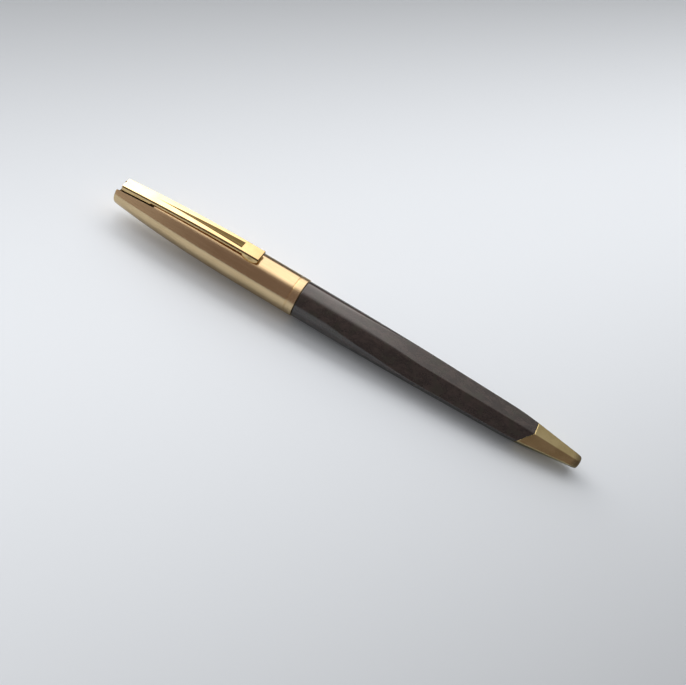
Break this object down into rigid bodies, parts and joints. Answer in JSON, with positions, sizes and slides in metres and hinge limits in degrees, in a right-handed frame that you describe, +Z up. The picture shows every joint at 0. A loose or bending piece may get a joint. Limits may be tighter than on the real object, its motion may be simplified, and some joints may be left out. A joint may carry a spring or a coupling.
{
  "type": "twist-action ballpoint pen",
  "caption": "Slim twist-action ballpoint pen with a tapered metal cap, a flat sprung clip, a six-sided lacquered barrel and a six-sided metal nose.",
  "frame": {"origin": "centre of the bounding box on the surface that the pen lies on", "axes": "+X from the closed end of the cap towards the point, +Z up through the clip; the pen lies on the barrel flat opposite the clip, so its axis dips 1.4 degrees towards the point"},
  "size_m": [0.1354, 0.0104, 0.0122],
  "materials": {
    "brushed_gold": "gold plate, satin brushed along the cap",
    "polished_gold": "gold plate, polished",
    "nose_gold": "pale gold plate, satin",
    "brown_lacquer": "deep brown gloss lacquer over brass, faintly mottled",
    "plain_brass": "turned",
    "steel": "drawn wire",
    "white_plastic": "moulded",
    "black_rubber": "moulded",
    "blue_ink": "paste ink",
    "carbide": "ground"
  },
  "bodies": {
    "barrel_body": {"barrel": "brown_lacquer", "nose_cone": "nose_gold", "barrel_liner": "plain_brass", "centre_coupling": "plain_brass", "guide_sleeve": "plain_brass", "retaining_ring": "steel", "thrust_washer": "white_plastic", "friction_ring": "black_rubber", "return_spring": "steel"},
    "cap_body": {"cap_shell": "brushed_gold", "clip_carrier": "plain_brass", "clip_pin": "steel", "clip_spring": "steel", "cap_liner": "white_plastic", "cam_sleeve": "white_plastic"},
    "clip_body": {"clip": "polished_gold"},
    "refill_body": {"plunger": "white_plastic", "plunger_pin": "steel", "refill_tube": "plain_brass", "refill_plug": "white_plastic", "ink_column": "blue_ink", "refill_point": "plain_brass", "writing_ball": "carbide"}
  },
  "joints": [
    {"name": "cap_twist", "type": "hinge", "parent": "barrel_body", "child": "cap_body", "pos_m": [-0.01283, 0, 0.00523], "axis": [0.9997, 0, -0.024], "range_deg": [0, 180]},
    {"name": "refill_slide", "type": "slide", "parent": "barrel_body", "child": "refill_body", "axis": [0.9997, 0, -0.024], "range_m": [0, 0.004], "deforming": ["return_spring"]},
    {"name": "clip_flex", "type": "hinge", "parent": "cap_body", "child": "clip_body", "pos_m": [-0.05865, 0, 0.00903], "axis": [0, -1, 0], "range_deg": [0, 5], "stiffness_Nm_per_rad": 1.5, "springref_deg": -1.72, "deforming": ["clip_spring"]}
  ],
  "couplings": [
    {"joint": "refill_slide", "follows": "cap_twist", "m_per_rad": 0.001273}
  ]
}
